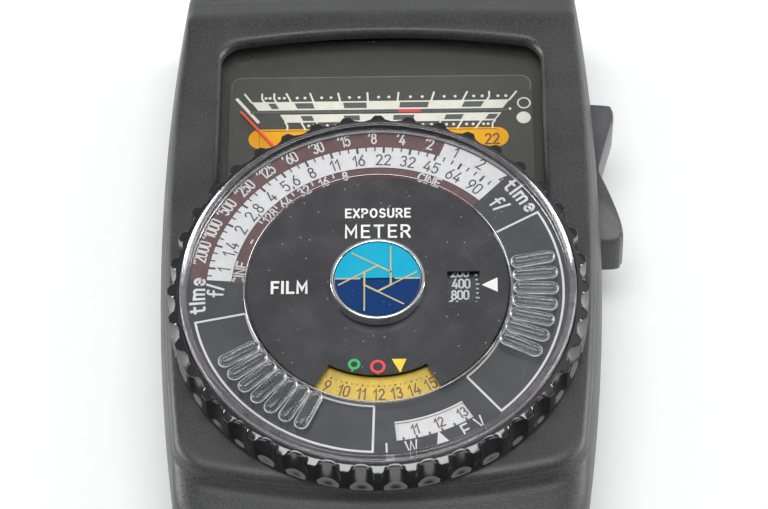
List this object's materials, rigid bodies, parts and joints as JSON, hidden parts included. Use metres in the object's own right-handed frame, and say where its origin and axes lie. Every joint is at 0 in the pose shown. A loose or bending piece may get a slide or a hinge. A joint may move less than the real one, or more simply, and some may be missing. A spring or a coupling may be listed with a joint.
{
  "type": "handheld light meter",
  "caption": "Handheld photoelectric exposure meter with a rotary calculator dial, a needle scale under a window, a side rocker switch and a sliding diffuser dome.",
  "frame": {"origin": "on the flat back face, straight below the dial's axis", "axes": "+Z out of the dial face along the dial axis, +Y towards the sensor end, +X towards the rocker switch"},
  "size_m": [0.0736, 0.1153, 0.0357],
  "materials": {
    "shell": "fine moulded grain",
    "rocker_plastic": "satin",
    "inner_plastic": "plain moulded",
    "black_gloss": "polished",
    "ivory_plastic": "satin",
    "opal_white": "translucent opal",
    "anodised_plate": "brushed and anodised",
    "spring_brass": "rolled strip",
    "brass": "turned",
    "spring_steel": "drawn wire",
    "screw_steel": "turned",
    "cell_steel": "nickel plated",
    "board": "laminate",
    "resistor": "lacquered",
    "cell_ceramic": "sintered track",
    "clear_window": "polished",
    "clear_disc": "moulded acrylic, lightly scratched",
    "mask": "matt",
    "scale_print": "screen printed",
    "dial_print": "screen printed",
    "disc_lacquer": "lacquered, lightly scratched",
    "magnet": "sintered",
    "jewel": "polished",
    "copper_wire": "enamelled wire",
    "needle_red": "signal paint",
    "bright_chrome": "polished",
    "enamel": "fired enamel"
  },
  "bodies": {
    "case": {"front_cover": "shell", "back_cover": "shell", "back_plate": "anodised_plate", "battery_tray": "inner_plastic", "button_cell_1": "cell_steel", "button_cell_2": "cell_steel", "cell_contact_1": "spring_brass", "cell_contact_2": "spring_brass", "chassis_screw_1": "brass", "chassis_screw_2": "brass", "contact_leaf_1": "spring_brass", "contact_leaf_2": "spring_brass", "button_spring": "spring_steel", "case_screw_1": "screw_steel", "case_screw_2": "screw_steel", "case_screw_3": "screw_steel", "case_screw_4": "screw_steel", "strap_lug": "black_gloss", "circuit_board": "board", "range_resistor_1": "resistor", "range_resistor_2": "resistor", "range_resistor_3": "resistor", "calibration_trimmer_1": "ivory_plastic", "calibration_trimmer_2": "ivory_plastic", "window_glass": "clear_window", "scale_plate": "scale_print", "chassis_plate": "mask", "magnet_core": "magnet", "yoke_ring": "screw_steel", "upper_bridge": "brass", "lower_bridge": "brass", "upper_jewel": "jewel", "lower_jewel": "jewel", "hairspring": "spring_brass", "rocker_pin": "screw_steel", "switch_base": "board", "slide_track": "inner_plastic", "cell_window": "clear_window", "cds_cell": "cell_ceramic", "cell_holder": "inner_plastic", "dial_hub": "brass", "spring_washer": "spring_steel", "centre_disc": "disc_lacquer", "dial_screw": "screw_steel", "emblem_rim": "bright_chrome", "emblem_disc": "enamel"},
    "setting_dial": {"setting_ring": "black_gloss", "scale_disc": "dial_print"},
    "aperture_dial": {"aperture_disc": "clear_disc"},
    "needle_assembly": {"needle": "needle_red", "needle_staff": "spring_steel", "moving_coil": "copper_wire"},
    "rocker": {"rocker": "rocker_plastic"},
    "diffuser": {"diffuser_slider": "black_gloss", "diffuser_dome": "opal_white"},
    "battery_door": {"battery_door": "shell", "door_contact_strip": "spring_brass"},
    "test_button": {"battery_test_button": "ivory_plastic"},
    "zero_adjuster": {"zero_adjust_screw": "brass"}
  },
  "joints": [
    {"name": "setting_dial_turn", "type": "hinge", "parent": "case", "child": "setting_dial", "pos_m": [0, 0, 0.03], "axis": [0, 0, 1], "continuous": true},
    {"name": "aperture_dial_turn", "type": "hinge", "parent": "case", "child": "aperture_dial", "pos_m": [0, 0, 0.033], "axis": [0, 0, 1], "range_deg": [-55, 55]},
    {"name": "needle_swing", "type": "hinge", "parent": "case", "child": "needle_assembly", "pos_m": [0, 0.0115, 0.0235], "axis": [0, 0, -1], "range_deg": [0, 77], "stiffness_Nm_per_rad": 0.00002},
    {"name": "rocker_press", "type": "hinge", "parent": "case", "child": "rocker", "pos_m": [0.031, 0.032, 0.0125], "axis": [0, 0, 1], "range_deg": [-4, 4], "stiffness_Nm_per_rad": 0.01},
    {"name": "diffuser_slide", "type": "slide", "parent": "case", "child": "diffuser", "axis": [-1, 0, 0], "range_m": [0, 0.022]},
    {"name": "battery_door_slide", "type": "slide", "parent": "case", "child": "battery_door", "axis": [0, -1, 0], "range_m": [0, 0.026]},
    {"name": "test_button_press", "type": "slide", "parent": "case", "child": "test_button", "axis": [0, 0, 1], "range_m": [0, 0.0012], "stiffness_N_per_m": 50, "deforming": ["button_spring"]},
    {"name": "zero_adjust_turn", "type": "hinge", "parent": "case", "child": "zero_adjuster", "pos_m": [0, 0.0115, 0.0015], "axis": [0, 0, 1], "range_deg": [-60, 60]}
  ]
}
